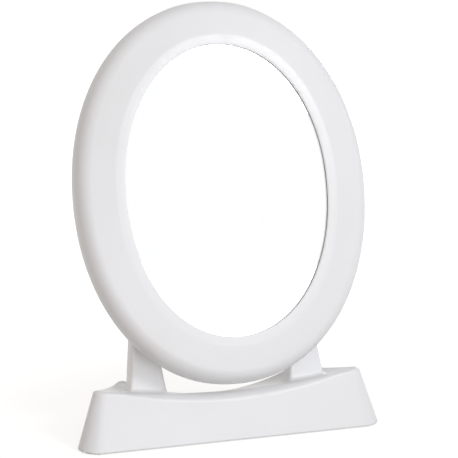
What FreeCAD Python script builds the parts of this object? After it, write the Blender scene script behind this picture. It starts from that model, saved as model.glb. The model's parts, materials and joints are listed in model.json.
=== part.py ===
import FreeCAD, Part
import math
import os

# Countertop mirror: an oval mirror head that tilts between two posts on a long scooped base.
# Millimetres. The origin is on the underside, midway between the ends and under the front half
# of the head. +Z is up and the glass faces -Y.
# Head pieces are drawn upright in a head frame (X across, Z up, Y = depth behind the front crest,
# origin at the middle of the oval) and are then leaned back and set on the pivot line.

V = FreeCAD.Vector
X_AXIS = V(1, 0, 0)
Y_AXIS = V(0, 1, 0)
Z_AXIS = V(0, 0, 1)
SIDES = (("left", -1.0), ("right", 1.0))

# ---- general ----
OVERRUN = 2.0              # how far a cutting body runs past the face that it opens
THREAD_CLEARANCE = 0.05    # screw shank to its pilot hole, radial
HOLE_CLEARANCE = 0.25      # screw shank to a plain through hole, radial
ASSEMBLY_CLEARANCE = 0.3   # a dropped-in piece to the walls around it

# ---- base shell ----
# In plan the base is a trapezoid with rounded corners: a long straight front, two slanting ends
# and a shorter straight rear. Its top is scooped by an oblique cone that is lower at the rear.
BASE_FRONT_Y = -25.0
BASE_REAR_Y = 56.0
END_ANGLE = 53.5           # degrees between the front and an end, in plan
END_DISTANCE = 107.5       # from the origin to an end wall, square to it, at the counter
FRONT_SLOPE = 17.0         # degrees that each wall leans inwards
END_SLOPE = 12.4
REAR_SLOPE = 2.0
FRONT_CORNER = 18.0        # corner radii at the counter
REAR_CORNER = 20.0
CORNER_SHRINK = 0.18       # how much a corner radius falls for each millimetre up
SCOOP_FRONT_Y = -18.0      # plane where the scoop's front values hold
SCOOP_FRONT_LOW = 32.5
SCOOP_FRONT_RADIUS = 434.5
SCOOP_REAR_Y = 54.0        # plane where its rear values hold
SCOOP_REAR_LOW = 22.5
SCOOP_REAR_RADIUS = 175.0
BASE_TOP = 56.0            # level above every point of the scooped top
BASE_WALL = 3.0
BASE_EDGE_RADIUS = 2.5
RIM_HEIGHT = 0.8           # the pad holds the shell's rim this far off the counter

# ---- posts, moulded with the base shell ----
POST_X = 72.0
POST_FOOT_WIDTH = 33.0
POST_TIP_WIDTH = 20.0
POST_FOOT_FRONT_Y = -1.0
POST_FOOT_REAR_Y = 16.5
POST_TIP_RADIUS = 8.0
POST_WALL = 3.0
POST_EDGE_RADIUS = 2.0
POST_FOOT_FILLET = 3.5
POST_CORE_STOP = 14.0      # solid length of the post below the pivot line
POST_EMBED = 8.0           # how far the post runs down into the base

# ---- pivot line ----
PIVOT_Y = 24.5
PIVOT_Z = 97.5
HEAD_LEAN = 15.0           # degrees that the head leans back at rest
PIVOT_BELOW_CENTRE = 107.0
PIVOT_BEHIND_CREST = 54.0

# ---- oval bezel ----
HEAD_WIDTH = 262.0
HEAD_HEIGHT = 331.0
BAND = 41.5                # width of the bezel band, seen from the front
CREST_INSET = 38.5         # distance of the crest from the outer edge
SIDE_DEPTH = 24.0          # depth of the outer edge, where the round front begins
BEZEL_DEPTH = 30.0
BEZEL_WALL = 3.0
LIP_DROP = 1.6             # depth that the lip's round takes
LIP_DEPTH = 2.8            # depth of the lip's rear face, which the gasket lies on
POCKET_LEDGE = 6.0         # width of the lip behind which the glass lies
RIB_WALL = 3.0
RIB_DEPTH = 18.0
ROUND_STEPS = 9            # sections in each quarter round

# ---- glass stack ----
GASKET_THICKNESS = 1.0
GASKET_SETBACK = 1.0       # gasket edge behind the opening's edge
GLASS_THICKNESS = 4.0
BOARD_THICKNESS = 3.0

# ---- rear cover ----
COVER_STEP = 1.0           # the cover stands this far inside the bezel's outer edge
COVER_SIDE = 1.5
COVER_THICKNESS = 2.5
COVER_ROUND_WIDTH = 9.0
COVER_ROUND_DEPTH = 3.5
PRESS_RIB_WALL = 2.5
COVER_BOSS_INSET = 16.0
COVER_SCREW_COUNT = 6
COVER_SCREW_LENGTH = 14.0
BOSS_RADIUS = 4.5
PILOT_EXTRA = 1.0          # pilot depth past the screw's point

# ---- screws (radii and head sizes) ----
COVER_SCREW_RADIUS = 1.75
PAN_HEAD_RADIUS = 3.5
PAN_HEAD_HEIGHT = 2.2
CROSS_SLOT_LENGTH = 3.6
CROSS_SLOT_WIDTH = 0.8
CROSS_SLOT_DEPTH = 1.1

# ---- pivot brackets ----
BRACKET_PLATE = 2.5
BRACKET_REACH = 16.0       # half height of the bracket's plate
BRACKET_CORNER = 3.0
EAR_THICKNESS = 3.0
EAR_ROOT = 13.0            # half height of an ear where it leaves the plate
EAR_TIP_RADIUS = 8.0
WASHER_THICKNESS = 1.0
WASHER_RADIUS = 7.0
SIDE_PLAY = 0.2            # friction washer to the side of the post tip
BRACKET_SCREW_SPACING = 19.0
BRACKET_SCREW_LENGTH = 16.0
BRACKET_SCREW_HEAD = 1.8

# ---- pivot bolts ----
BOLT_RADIUS = 3.0
RUNNING_CLEARANCE = 0.05
BUSH_WALL = 1.5
BOLT_HEAD_FLATS = 10.0
BOLT_HEAD_HEIGHT = 4.0
NUT_HEIGHT = 5.0
SPRING_WASHER = 1.5
BOLT_END = 1.5             # bolt length that shows past its nut

# ---- under the base ----
PAD_THICKNESS = 1.5
PAD_INSET = 4.5
PLATE_THICKNESS = 2.5
PLATE_BOSS_RADIUS = 4.0
PLATE_SCREW_X = 110.0
PLATE_SCREW_FRONT_Y = -8.0
PLATE_SCREW_REAR_X = 60.0
PLATE_SCREW_REAR_Y = 46.0
PLATE_SCREW_LENGTH = 12.0
BALLAST_GAP = 12.0         # inner end of a ballast bar from the middle of the base
BALLAST_LENGTH = 78.0
BALLAST_FRONT_Y = -14.0
BALLAST_REAR_Y = 38.0
BALLAST_HEIGHT = 16.0
BALLAST_CHAMFER = 1.0
BALLAST_SCREW_MARGIN = 20.0
BALLAST_SCREW_LENGTH = 12.0
FLUSH_SCREW_RADIUS = 2.0
FLUSH_HEAD_RADIUS = 3.8
FLUSH_HEAD_HEIGHT = 2.0


# ---- small helpers ----
def tan(degrees):
    return math.tan(math.radians(degrees))


def cylinder(radius, start, end):
    """A round bar from one point to another."""
    path = end.sub(start)
    return Part.makeCylinder(radius, path.Length, start, path)


def block(x0, x1, y0, y1, z0, z1):
    return Part.makeBox(x1 - x0, y1 - y0, z1 - z0, V(x0, y0, z0))


def tangent_point(outer, centre, radius, side):
    """Where the line from a point touches a circle, in a plane; side picks one of the two."""
    dx = outer[0] - centre[0]
    dy = outer[1] - centre[1]
    distance = math.hypot(dx, dy)
    turn = side * math.acos(radius / distance)
    angle = math.atan2(dy, dx) + turn
    return (centre[0] + radius * math.cos(angle), centre[1] + radius * math.sin(angle))


def hex_prism(flats, height, start, axis):
    """A hexagonal prism across its flats, from a point along an axis."""
    corner = flats / 2 / math.cos(math.pi / 6)
    points = [V(corner * math.cos(k * math.pi / 3), corner * math.sin(k * math.pi / 3), 0) for k in range(7)]
    prism = Part.Face(Part.makePolygon(points)).extrude(V(0, 0, height))
    chamfer = Part.makeCone(corner + height, corner - height / 8, height + height / 8)
    prism = prism.common(chamfer)
    prism.Placement = FreeCAD.Placement(start, FreeCAD.Rotation(Z_AXIS, axis))
    return prism


def pan_screw(shank_radius, length, head_height, seat, axis):
    """A pan-head screw; seat is the point under its head and axis points from there to its point."""
    outward = V(axis).multiply(-1)
    head = Part.makeCylinder(PAN_HEAD_RADIUS, head_height)
    rim = [edge for edge in head.Edges if edge.BoundBox.ZMin > head_height / 2]
    head = head.makeFillet(head_height / 3, rim)
    slot_floor = head_height - min(CROSS_SLOT_DEPTH, head_height / 2)
    half_length = CROSS_SLOT_LENGTH / 2
    half_width = CROSS_SLOT_WIDTH / 2
    for across, along in ((half_length, half_width), (half_width, half_length)):
        head = head.cut(block(-across, across, -along, along, slot_floor, head_height + OVERRUN))
    shank = Part.makeCylinder(shank_radius, length, V(0, 0, -length))
    tip = shank_radius / 2
    shank = shank.makeChamfer(tip, [e for e in shank.Edges if e.BoundBox.ZMax < -length / 2])
    screw = head.fuse(shank).removeSplitter()
    screw.Placement = FreeCAD.Placement(seat, FreeCAD.Rotation(Z_AXIS, outward))
    return screw


def flush_screw(length, seat):
    """A countersunk screw that points up, its head's face at the seat point."""
    head = Part.makeCone(FLUSH_HEAD_RADIUS, FLUSH_SCREW_RADIUS, FLUSH_HEAD_HEIGHT, seat)
    shank = Part.makeCylinder(FLUSH_SCREW_RADIUS, length, seat)
    half_length = CROSS_SLOT_LENGTH / 2
    half_width = CROSS_SLOT_WIDTH / 2
    screw = head.fuse(shank).removeSplitter()
    for across, along in ((half_length, half_width), (half_width, half_length)):
        screw = screw.cut(block(seat.x - across, seat.x + across, seat.y - along, seat.y + along,
                                seat.z - OVERRUN, seat.z + CROSS_SLOT_DEPTH))
    return screw


def flush_hole(seat, top):
    """The countersunk hole that a flush screw passes through."""
    grow = HOLE_CLEARANCE
    cone = Part.makeCone(FLUSH_HEAD_RADIUS + grow, FLUSH_SCREW_RADIUS + grow, FLUSH_HEAD_HEIGHT, seat)
    return cone.fuse(Part.makeCylinder(FLUSH_SCREW_RADIUS + grow, top - seat.z, seat))


# ---- base geometry ----
PLATE_TOP = PAD_THICKNESS + PLATE_THICKNESS
FAR = 400.0                # longer than any piece, for cutting bodies


def scoop_share(y):
    return (y - SCOOP_FRONT_Y) / (SCOOP_REAR_Y - SCOOP_FRONT_Y)


def scoop_radius(y):
    return SCOOP_FRONT_RADIUS + scoop_share(y) * (SCOOP_REAR_RADIUS - SCOOP_FRONT_RADIUS)


def scoop_centre(y):
    low = SCOOP_FRONT_LOW + scoop_share(y) * (SCOOP_REAR_LOW - SCOOP_FRONT_LOW)
    return low + scoop_radius(y)


def top_height(x, y):
    """Height of the scooped top above the counter."""
    return scoop_centre(y) - math.sqrt(scoop_radius(y) ** 2 - x ** 2)


def scoop(roof):
    """The cutting body of the top, enlarged by roof for the hollow below it."""
    wires = []
    for y in (BASE_FRONT_Y - OVERRUN, BASE_REAR_Y + OVERRUN):
        circle = Part.makeCircle(scoop_radius(y) + roof, V(0, y, scoop_centre(y)), Y_AXIS)
        wires.append(Part.Wire([circle]))
    return Part.makeLoft(wires, True, True)


def rounded_corner(before, corner, after, radius):
    """The start, middle and end of the arc that rounds one corner of an outline."""
    to_before = before.sub(corner).normalize()
    to_after = after.sub(corner).normalize()
    half_angle = to_before.getAngle(to_after) / 2
    bisector = to_before.add(to_after).normalize()
    centre = corner.add(V(bisector).multiply(radius / math.sin(half_angle)))
    reach = radius / math.tan(half_angle)
    start = corner.add(V(to_before).multiply(reach))
    end = corner.add(V(to_after).multiply(reach))
    return start, centre.sub(V(bisector).multiply(radius)), end


def base_outline(level, inset, z):
    """The base's plan at a level, drawn in by inset and laid at height z."""
    front = BASE_FRONT_Y + level * tan(FRONT_SLOPE) + inset
    rear = BASE_REAR_Y - level * tan(REAR_SLOPE) - inset
    distance = END_DISTANCE - level * tan(END_SLOPE) - inset
    slant = math.radians(END_ANGLE)
    front_x = (distance - front * math.cos(slant)) / math.sin(slant)
    rear_x = (distance - rear * math.cos(slant)) / math.sin(slant)
    front_radius = FRONT_CORNER - CORNER_SHRINK * level - inset
    rear_radius = REAR_CORNER - CORNER_SHRINK * level - inset
    corners = [V(-front_x, front, z), V(front_x, front, z), V(rear_x, rear, z), V(-rear_x, rear, z)]
    radii = [front_radius, front_radius, rear_radius, rear_radius]
    arcs = [rounded_corner(corners[k - 1], corners[k], corners[(k + 1) % 4], radii[k]) for k in range(4)]
    edges = []
    for k in range(4):
        start, middle, end = arcs[k]
        edges.append(Part.Arc(start, middle, end).toShape())
        edges.append(Part.LineSegment(end, arcs[(k + 1) % 4][0]).toShape())
    return Part.Wire(edges)


def base_body(bottom, inset, roof):
    """The scooped form of the base, drawn in by inset at its walls and by roof at its top."""
    wires = [base_outline(level, inset, level) for level in (bottom, BASE_TOP)]
    return Part.makeLoft(wires, True, True).cut(scoop(roof))


POST_FOOT_Z = top_height(POST_X, (POST_FOOT_FRONT_Y + POST_FOOT_REAR_Y) / 2)


def post_body(side, inset, bottom, top):
    """A tapered post that leans back to its round tip, drawn in by inset on every side."""
    centre = (PIVOT_Y, PIVOT_Z)
    tip_radius = POST_TIP_RADIUS - inset
    front_foot = (POST_FOOT_FRONT_Y + inset, POST_FOOT_Z)
    rear_foot = (POST_FOOT_REAR_Y - inset, POST_FOOT_Z)
    front_top = tangent_point(front_foot, centre, tip_radius, -1)
    rear_top = tangent_point(rear_foot, centre, tip_radius, 1)

    def down_to(foot, touch, z):
        share = (z - foot[1]) / (touch[1] - foot[1])
        return foot[0] + share * (touch[0] - foot[0])

    half = POST_FOOT_WIDTH
    front_low = V(-half, down_to(front_foot, front_top, bottom), bottom)
    rear_low = V(-half, down_to(rear_foot, rear_top, bottom), bottom)
    front_high = V(-half, front_top[0], front_top[1])
    rear_high = V(-half, rear_top[0], rear_top[1])
    crown_angle = math.atan2(PIVOT_Z - POST_FOOT_Z, PIVOT_Y - (POST_FOOT_FRONT_Y + POST_FOOT_REAR_Y) / 2)
    crown = V(-half, PIVOT_Y + tip_radius * math.cos(crown_angle), PIVOT_Z + tip_radius * math.sin(crown_angle))
    edges = [Part.LineSegment(front_low, front_high).toShape(),
             Part.Arc(front_high, crown, rear_high).toShape(),
             Part.LineSegment(rear_high, rear_low).toShape(),
             Part.LineSegment(rear_low, front_low).toShape()]
    from_side = Part.Face(Part.Wire(edges)).extrude(V(2 * half, 0, 0))

    taper_end = PIVOT_Z - POST_TIP_RADIUS
    slope = (POST_FOOT_WIDTH - POST_TIP_WIDTH) / 2 / (taper_end - POST_FOOT_Z)
    tip_half = POST_TIP_WIDTH / 2 - inset
    low_half = tip_half + slope * (taper_end - bottom)
    reach = FAR
    outline = [V(-low_half, -reach, bottom), V(low_half, -reach, bottom), V(tip_half, -reach, taper_end),
               V(tip_half, -reach, top), V(-tip_half, -reach, top), V(-tip_half, -reach, taper_end)]
    from_front = Part.Face(Part.makePolygon(outline + outline[:1])).extrude(V(0, 2 * reach, 0))
    post = from_side.common(from_front)
    post.translate(V(side * POST_X, 0, 0))
    return post


def is_upright(edge):
    """True for an edge that is not level, or that is curved."""
    box = edge.BoundBox
    return box.ZLength > 1.0 and max(box.YLength, box.ZLength) > 1.0


def rounded_post(side):
    post = post_body(side, 0.0, POST_FOOT_Z - POST_EMBED, PIVOT_Z + 2 * POST_TIP_RADIUS)
    return post.makeFillet(POST_EDGE_RADIUS, [edge for edge in post.Edges if is_upright(edge)])


def on_top(point):
    return abs(math.hypot(point.x, point.z - scoop_centre(point.y)) - scoop_radius(point.y)) < 0.01


def foot_edges(shape, side):
    """The edges where a post meets the scooped top."""
    half = POST_FOOT_WIDTH / 2 + 1.0
    found = []
    for edge in shape.Edges:
        box = edge.BoundBox
        near = abs(box.Center.x - side * POST_X) < half and box.XLength < 2 * half
        inside = box.YMin > POST_FOOT_FRONT_Y - 2.0 and box.YMax < POST_FOOT_REAR_Y + 2.0
        if near and inside and all(on_top(vertex.Point) for vertex in edge.Vertexes):
            found.append(edge)
    return found


def plate_screw_points():
    front = [(x, PLATE_SCREW_FRONT_Y) for x in (-PLATE_SCREW_X, 0.0, PLATE_SCREW_X)]
    rear = [(x, PLATE_SCREW_REAR_Y) for x in (-PLATE_SCREW_REAR_X, PLATE_SCREW_REAR_X)]
    return front + rear


def ballast_ends(side):
    near = side * BALLAST_GAP
    far = side * (BALLAST_GAP + BALLAST_LENGTH)
    return min(near, far), max(near, far)


def ballast_screw_points(side):
    x0, x1 = ballast_ends(side)
    y = (BALLAST_FRONT_Y + BALLAST_REAR_Y) / 2
    return [(x0 + BALLAST_SCREW_MARGIN, y), (x1 - BALLAST_SCREW_MARGIN, y)]


def base_shell():
    shell = base_body(RIM_HEIGHT, 0.0, 0.0)
    top_edges = [edge for edge in shell.Edges if all(on_top(vertex.Point) for vertex in edge.Vertexes)]
    shell = shell.makeFillet(BASE_EDGE_RADIUS, top_edges)
    for _, side in SIDES:
        shell = shell.fuse(rounded_post(side))
    for _, side in SIDES:
        shell = shell.makeFillet(POST_FOOT_FILLET, foot_edges(shell, side))
    cavity = base_body(RIM_HEIGHT - OVERRUN, BASE_WALL, BASE_WALL)
    bosses = []
    for x, y in plate_screw_points():
        bosses.append(cylinder(PLATE_BOSS_RADIUS, V(x, y, PLATE_TOP), V(x, y, BASE_TOP)))
    for boss in bosses:
        cavity = cavity.cut(boss)
    shell = shell.cut(cavity)
    for _, side in SIDES:
        core = post_body(side, POST_WALL, POST_FOOT_Z - POST_EMBED - OVERRUN, PIVOT_Z + POST_TIP_RADIUS)
        core = core.common(block(-FAR, FAR, -FAR, FAR, 0, PIVOT_Z - POST_CORE_STOP))
        shell = shell.cut(core)
        bore_start = V(side * POST_X - POST_TIP_WIDTH, PIVOT_Y, PIVOT_Z)
        bore_end = V(side * POST_X + POST_TIP_WIDTH, PIVOT_Y, PIVOT_Z)
        shell = shell.cut(cylinder(BOLT_RADIUS + RUNNING_CLEARANCE + BUSH_WALL, bore_start, bore_end))
    for x, y in plate_screw_points():
        end = PAD_THICKNESS + PLATE_SCREW_LENGTH + PILOT_EXTRA
        shell = shell.cut(cylinder(FLUSH_SCREW_RADIUS + THREAD_CLEARANCE, V(x, y, PLATE_TOP - OVERRUN), V(x, y, end)))
    return shell


def pivot_bush(side):
    start = V(side * POST_X - POST_TIP_WIDTH / 2, PIVOT_Y, PIVOT_Z)
    end = V(side * POST_X + POST_TIP_WIDTH / 2, PIVOT_Y, PIVOT_Z)
    bore = BOLT_RADIUS + RUNNING_CLEARANCE
    return cylinder(bore + BUSH_WALL, start, end).cut(cylinder(bore, start, end))


def base_plate():
    outline = base_outline(PLATE_TOP, BASE_WALL + ASSEMBLY_CLEARANCE, PAD_THICKNESS)
    plate = Part.Face(outline).extrude(V(0, 0, PLATE_THICKNESS))
    points = plate_screw_points()
    for _, side in SIDES:
        points = points + ballast_screw_points(side)
    for x, y in points:
        plate = plate.cut(flush_hole(V(x, y, PAD_THICKNESS), PLATE_TOP))
    return plate


def base_pad():
    return Part.Face(base_outline(0.0, PAD_INSET, 0.0)).extrude(V(0, 0, PAD_THICKNESS))


def ballast_bar(side):
    x0, x1 = ballast_ends(side)
    bar = block(x0, x1, BALLAST_FRONT_Y, BALLAST_REAR_Y, PLATE_TOP, PLATE_TOP + BALLAST_HEIGHT)
    bar = bar.makeChamfer(BALLAST_CHAMFER, bar.Edges)
    for x, y in ballast_screw_points(side):
        end = PAD_THICKNESS + BALLAST_SCREW_LENGTH + PILOT_EXTRA
        bar = bar.cut(cylinder(FLUSH_SCREW_RADIUS + THREAD_CLEARANCE, V(x, y, PLATE_TOP - OVERRUN), V(x, y, end)))
    return bar


def plate_screws():
    return [flush_screw(PLATE_SCREW_LENGTH, V(x, y, PAD_THICKNESS)) for x, y in plate_screw_points()]


def ballast_screws():
    points = ballast_screw_points(-1.0) + ballast_screw_points(1.0)
    return [flush_screw(BALLAST_SCREW_LENGTH, V(x, y, PAD_THICKNESS)) for x, y in points]


# ---- head geometry, in the head frame ----
COVER_FACE = BEZEL_DEPTH + COVER_SIDE + COVER_ROUND_DEPTH
COVER_INSIDE = COVER_FACE - COVER_THICKNESS
OPENING_INSET = BAND
POCKET_INSET = BAND - POCKET_LEDGE
GLASS_FRONT = LIP_DEPTH + GASKET_THICKNESS
GLASS_BACK = GLASS_FRONT + GLASS_THICKNESS
BOARD_BACK = GLASS_BACK + BOARD_THICKNESS
PLATE_BACK = COVER_FACE + BRACKET_PLATE
EAR_INNER = POST_TIP_WIDTH / 2 + SIDE_PLAY + WASHER_THICKNESS
EAR_OUTER = EAR_INNER + EAR_THICKNESS


def oval(inset, depth):
    """An oval ring line, drawn in from the bezel's outer edge, at a depth behind the crest."""
    top = V(0, depth, HEAD_HEIGHT / 2 - inset)
    right = V(HEAD_WIDTH / 2 - inset, depth, 0)
    return Part.Wire([Part.Ellipse(top, right, V(0, depth, 0)).toShape()])


def oval_slab(inset, front, back):
    return Part.Face(oval(inset, front)).extrude(V(0, back - front, 0))


def quarter(steps):
    return [math.pi / 2 * k / steps for k in range(steps + 1)]


def domed(edge_inset, crest_inset, edge_depth, crest_depth, extra):
    """A solid whose round front rises from its edge to its crest; extra ovals may follow the crest."""
    wires = []
    for turn in quarter(ROUND_STEPS):
        inset = edge_inset + (crest_inset - edge_inset) * (1 - math.cos(turn))
        depth = crest_depth + (edge_depth - crest_depth) * (1 - math.sin(turn))
        wires.append(oval(inset, depth))
    return Part.makeLoft(wires + extra, True, False)


def bezel_body():
    """The bezel as if it were solid, from its rear edge to its crest and the start of its lip."""
    lip = []
    lip_width = BAND - CREST_INSET
    for turn in quarter(2)[1:]:
        lip.append(oval(CREST_INSET + lip_width * math.sin(turn), LIP_DROP * (1 - math.cos(turn))))
    lip.append(oval(BAND + lip_width / 4, 2 * LIP_DROP))
    front = domed(0.0, CREST_INSET, SIDE_DEPTH, 0.0, lip)
    return front.fuse(oval_slab(0.0, SIDE_DEPTH, BEZEL_DEPTH)).removeSplitter()


def cover_screw_points():
    points = []
    for k in range(COVER_SCREW_COUNT):
        turn = math.pi / 2 + 2 * math.pi * k / COVER_SCREW_COUNT
        across = (HEAD_WIDTH / 2 - COVER_BOSS_INSET) * math.cos(turn)
        up = (HEAD_HEIGHT / 2 - COVER_BOSS_INSET) * math.sin(turn)
        points.append((across, up))
    return points


def bracket_screw_points(side):
    half = BRACKET_SCREW_SPACING / 2
    return [(side * POST_X, -PIVOT_BELOW_CENTRE + half), (side * POST_X, -PIVOT_BELOW_CENTRE - half)]


def front_bezel():
    body = bezel_body()
    hollow = domed(BEZEL_WALL, CREST_INSET, SIDE_DEPTH, BEZEL_WALL, [])
    hollow = hollow.fuse(oval_slab(BEZEL_WALL, SIDE_DEPTH, BEZEL_DEPTH + OVERRUN))
    hollow = hollow.cut(oval_slab(POCKET_INSET - RIB_WALL, -OVERRUN, BEZEL_DEPTH + 2 * OVERRUN))
    bezel = body.cut(hollow)
    bezel = bezel.cut(oval_slab(OPENING_INSET, -OVERRUN, BEZEL_DEPTH))
    bezel = bezel.cut(oval_slab(POCKET_INSET, LIP_DEPTH, BEZEL_DEPTH + OVERRUN))
    bezel = bezel.cut(oval_slab(POCKET_INSET - RIB_WALL - OVERRUN / 4, RIB_DEPTH, BEZEL_DEPTH + OVERRUN))
    seats = [(point, COVER_SCREW_LENGTH - COVER_THICKNESS, COVER_SCREW_RADIUS) for point in cover_screw_points()]
    for _, side in SIDES:
        reach = BRACKET_SCREW_LENGTH - COVER_THICKNESS - BRACKET_PLATE
        seats = seats + [(point, reach, COVER_SCREW_RADIUS) for point in bracket_screw_points(side)]
    extension = oval_slab(BEZEL_WALL, BEZEL_DEPTH - OVERRUN, COVER_INSIDE)
    room = body.fuse(extension)
    for (x, z), _, _ in seats:
        boss = cylinder(BOSS_RADIUS, V(x, 0, z), V(x, COVER_INSIDE, z))
        bezel = bezel.fuse(boss.common(room))
    for (x, z), reach, radius in seats:
        start = COVER_INSIDE - reach - PILOT_EXTRA
        pilot = cylinder(radius + THREAD_CLEARANCE, V(x, start, z), V(x, COVER_INSIDE + OVERRUN, z))
        bezel = bezel.cut(pilot)
    return bezel.removeSplitter()


def glass_gasket():
    ring = oval_slab(POCKET_INSET + ASSEMBLY_CLEARANCE, LIP_DEPTH, GLASS_FRONT)
    return ring.cut(oval_slab(OPENING_INSET - GASKET_SETBACK, LIP_DEPTH - OVERRUN, GLASS_FRONT + OVERRUN))


def mirror_glass():
    return oval_slab(POCKET_INSET + ASSEMBLY_CLEARANCE, GLASS_FRONT, GLASS_BACK)


def backing_board():
    return oval_slab(POCKET_INSET + ASSEMBLY_CLEARANCE, GLASS_BACK, BOARD_BACK)


def cover_round(inset, width, start, depth):
    """The rounded tray form of the cover: its side, its quarter round and its flat rear."""
    wires = []
    for turn in quarter(ROUND_STEPS):
        wires.append(oval(inset + width * (1 - math.cos(turn)), start + depth * math.sin(turn)))
    return Part.makeLoft(wires, True, False)


def rear_cover():
    side_end = BEZEL_DEPTH + COVER_SIDE
    outer = oval_slab(COVER_STEP, BEZEL_DEPTH, side_end)
    outer = outer.fuse(cover_round(COVER_STEP, COVER_ROUND_WIDTH, side_end, COVER_ROUND_DEPTH)).removeSplitter()
    inner_inset = COVER_STEP + COVER_THICKNESS
    inner = oval_slab(inner_inset, BEZEL_DEPTH - OVERRUN, BEZEL_DEPTH + COVER_SIDE / 2)
    inner = inner.fuse(cover_round(inner_inset, COVER_ROUND_WIDTH, BEZEL_DEPTH + COVER_SIDE / 2,
                                   COVER_INSIDE - BEZEL_DEPTH - COVER_SIDE / 2)).removeSplitter()
    cover = outer.cut(inner)
    press_outer = POCKET_INSET + RIB_WALL / 2
    rib = oval_slab(press_outer, BOARD_BACK, COVER_INSIDE + COVER_THICKNESS / 2)
    rib = rib.cut(oval_slab(press_outer + PRESS_RIB_WALL, BOARD_BACK - OVERRUN, COVER_FACE))
    cover = cover.fuse(rib)
    points = cover_screw_points()
    for _, side in SIDES:
        points = points + bracket_screw_points(side)
    for x, z in points:
        hole = cylinder(COVER_SCREW_RADIUS + HOLE_CLEARANCE, V(x, BEZEL_DEPTH, z), V(x, COVER_FACE + OVERRUN, z))
        cover = cover.cut(hole)
    return cover.removeSplitter()


def cover_screws():
    screws = []
    for x, z in cover_screw_points():
        seat = V(x, COVER_FACE, z)
        screws.append(pan_screw(COVER_SCREW_RADIUS, COVER_SCREW_LENGTH, PAN_HEAD_HEIGHT, seat, V(0, -1, 0)))
    return screws


def bracket_ear(x0, x1):
    """One ear of a bracket: it narrows from the plate to a round end on the pivot line."""
    pivot = (PIVOT_BEHIND_CREST, -PIVOT_BELOW_CENTRE)
    low_root = (COVER_FACE, -PIVOT_BELOW_CENTRE - EAR_ROOT)
    high_root = (COVER_FACE, -PIVOT_BELOW_CENTRE + EAR_ROOT)
    low = tangent_point(low_root, pivot, EAR_TIP_RADIUS, 1)
    high = tangent_point(high_root, pivot, EAR_TIP_RADIUS, -1)
    end = V(x0, PIVOT_BEHIND_CREST + EAR_TIP_RADIUS, -PIVOT_BELOW_CENTRE)
    edges = [Part.LineSegment(V(x0, *low_root), V(x0, *low)).toShape(),
             Part.Arc(V(x0, *low), end, V(x0, *high)).toShape(),
             Part.LineSegment(V(x0, *high), V(x0, *high_root)).toShape(),
             Part.LineSegment(V(x0, *high_root), V(x0, *low_root)).toShape()]
    return Part.Face(Part.Wire(edges)).extrude(V(x1 - x0, 0, 0))


def pivot_bracket(side):
    centre = side * POST_X
    low = -PIVOT_BELOW_CENTRE - BRACKET_REACH
    high = -PIVOT_BELOW_CENTRE + BRACKET_REACH
    plate = block(centre - EAR_OUTER, centre + EAR_OUTER, COVER_FACE, PLATE_BACK, low, high)
    corners = [edge for edge in plate.Edges if edge.BoundBox.YLength > BRACKET_PLATE / 2]
    bracket = plate.makeFillet(BRACKET_CORNER, corners)
    for x0 in (centre - EAR_OUTER, centre + EAR_INNER):
        bracket = bracket.fuse(bracket_ear(x0, x0 + EAR_THICKNESS))
    start = V(centre - 2 * EAR_OUTER, PIVOT_BEHIND_CREST, -PIVOT_BELOW_CENTRE)
    end = V(centre + 2 * EAR_OUTER, PIVOT_BEHIND_CREST, -PIVOT_BELOW_CENTRE)
    bracket = bracket.cut(cylinder(BOLT_RADIUS + THREAD_CLEARANCE, start, end))
    for x, z in bracket_screw_points(side):
        hole = cylinder(COVER_SCREW_RADIUS + HOLE_CLEARANCE, V(x, BEZEL_DEPTH, z), V(x, PLATE_BACK + OVERRUN, z))
        bracket = bracket.cut(hole)
    return bracket.removeSplitter()


def bracket_screws(side):
    screws = []
    for x, z in bracket_screw_points(side):
        seat = V(x, PLATE_BACK, z)
        screws.append(pan_screw(COVER_SCREW_RADIUS, BRACKET_SCREW_LENGTH, BRACKET_SCREW_HEAD, seat, V(0, -1, 0)))
    return screws


def on_pivot(x):
    return V(x, PIVOT_BEHIND_CREST, -PIVOT_BELOW_CENTRE)


def pivot_bolt(side):
    """The bolt's head is on the outer side of its bracket and its nut on the inner side."""
    centre = side * POST_X
    seat = centre + side * EAR_OUTER
    end = centre - side * (EAR_OUTER + SPRING_WASHER + NUT_HEIGHT + BOLT_END)
    head = hex_prism(BOLT_HEAD_FLATS, BOLT_HEAD_HEIGHT, on_pivot(seat), V(side, 0, 0))
    return head.fuse(cylinder(BOLT_RADIUS, on_pivot(seat), on_pivot(end))).removeSplitter()


def pivot_nut(side):
    start = side * (POST_X - EAR_OUTER - SPRING_WASHER)
    end = start - side * NUT_HEIGHT
    nut = hex_prism(BOLT_HEAD_FLATS, NUT_HEIGHT, on_pivot(start), V(-side, 0, 0))
    return nut.cut(cylinder(BOLT_RADIUS + THREAD_CLEARANCE, on_pivot(start + side), on_pivot(end - side)))


def washer(radius, x0, x1):
    ring = cylinder(radius, on_pivot(x0), on_pivot(x1))
    return ring.cut(cylinder(BOLT_RADIUS + THREAD_CLEARANCE, on_pivot(x0), on_pivot(x1)))


def spring_washer(side):
    seat = side * (POST_X - EAR_OUTER)
    return washer(BOLT_HEAD_FLATS / 2, seat, seat - side * SPRING_WASHER)


def friction_washers(side):
    pair = []
    for facing in (-1.0, 1.0):
        ear = side * POST_X + facing * EAR_INNER
        pair.append(washer(WASHER_RADIUS, ear, ear - facing * WASHER_THICKNESS))
    return pair


def lean_head(shape):
    """Moves a head piece from the head frame to its place on the pivot line, leaned back."""
    turn = FreeCAD.Rotation(X_AXIS, -HEAD_LEAN)
    offset = turn.multVec(V(0, PIVOT_BEHIND_CREST, -PIVOT_BELOW_CENTRE))
    placement = FreeCAD.Placement(V(0, PIVOT_Y, PIVOT_Z).sub(offset), turn)
    shape.Placement = placement.multiply(shape.Placement)
    return shape


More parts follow.
